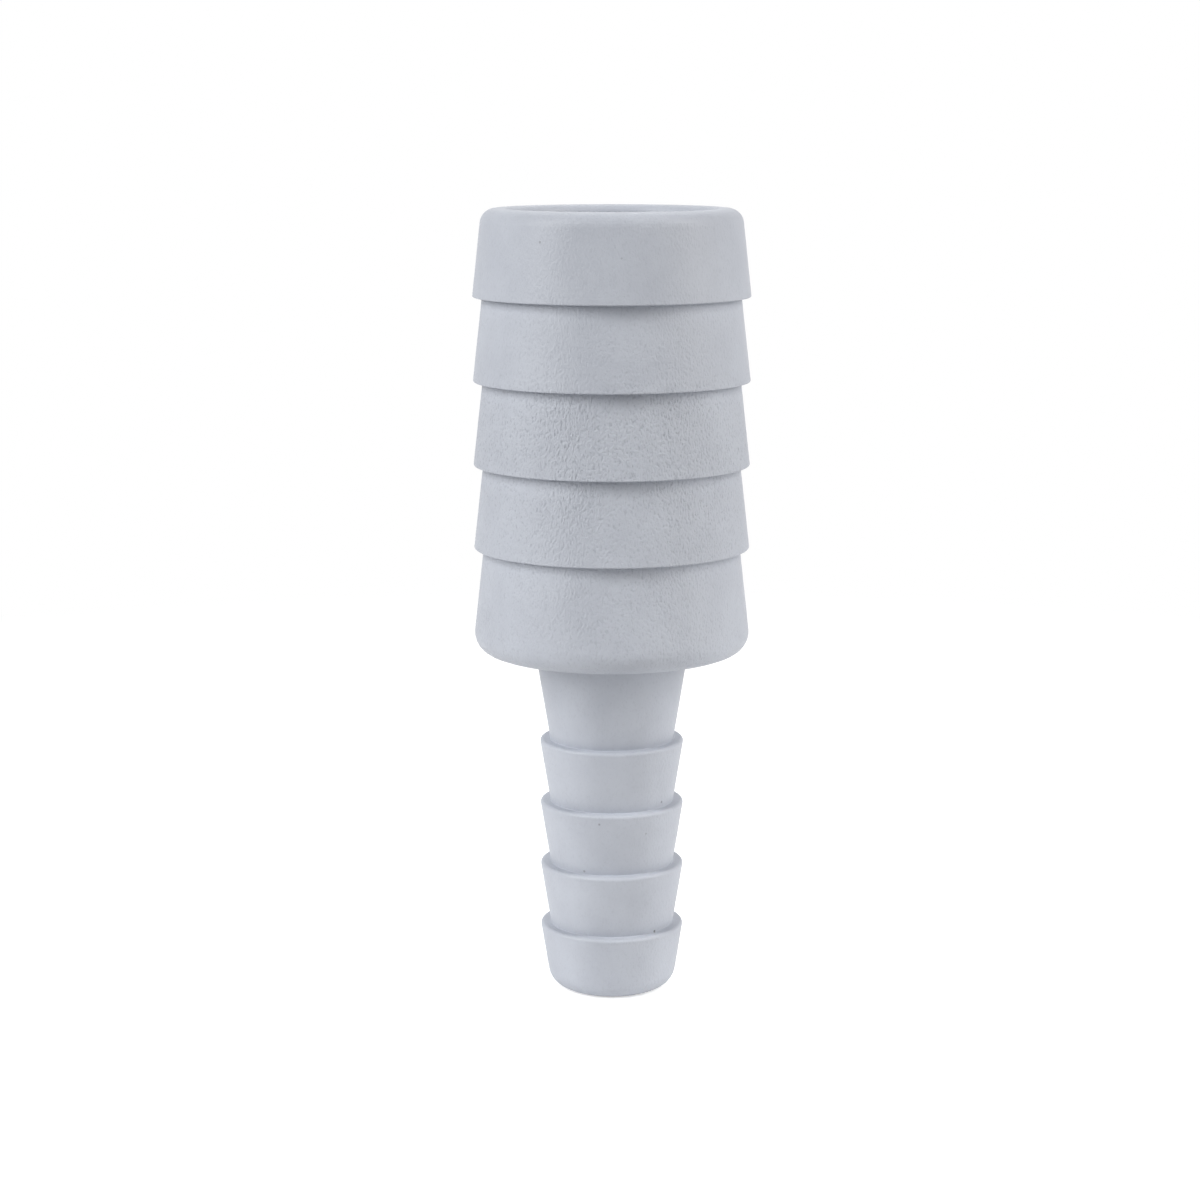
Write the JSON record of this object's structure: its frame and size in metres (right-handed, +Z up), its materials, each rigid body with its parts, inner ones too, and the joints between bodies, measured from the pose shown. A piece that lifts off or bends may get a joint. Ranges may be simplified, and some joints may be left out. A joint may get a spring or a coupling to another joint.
{
  "type": "barbed hose reducer",
  "caption": "Straight one-piece plastic reducer that joins a wide hose to a narrow one: a barbed tail at each end, a rounded shoulder and a bore right through.",
  "frame": {"origin": "centre of the end face of the small tail, which the part stands on", "axes": "+Z up along the common axis of both tails and bores, from the small tail to the large one; the part is round, so +X and +Y are any two directions across it"},
  "size_m": [0.0276, 0.0276, 0.079],
  "materials": {
    "moulded_plastic": "pale grey moulded plastic with a fine grain and a dull satin sheen"
  },
  "bodies": {
    "root": {"reducer": "moulded_plastic"}
  },
  "joints": []
}
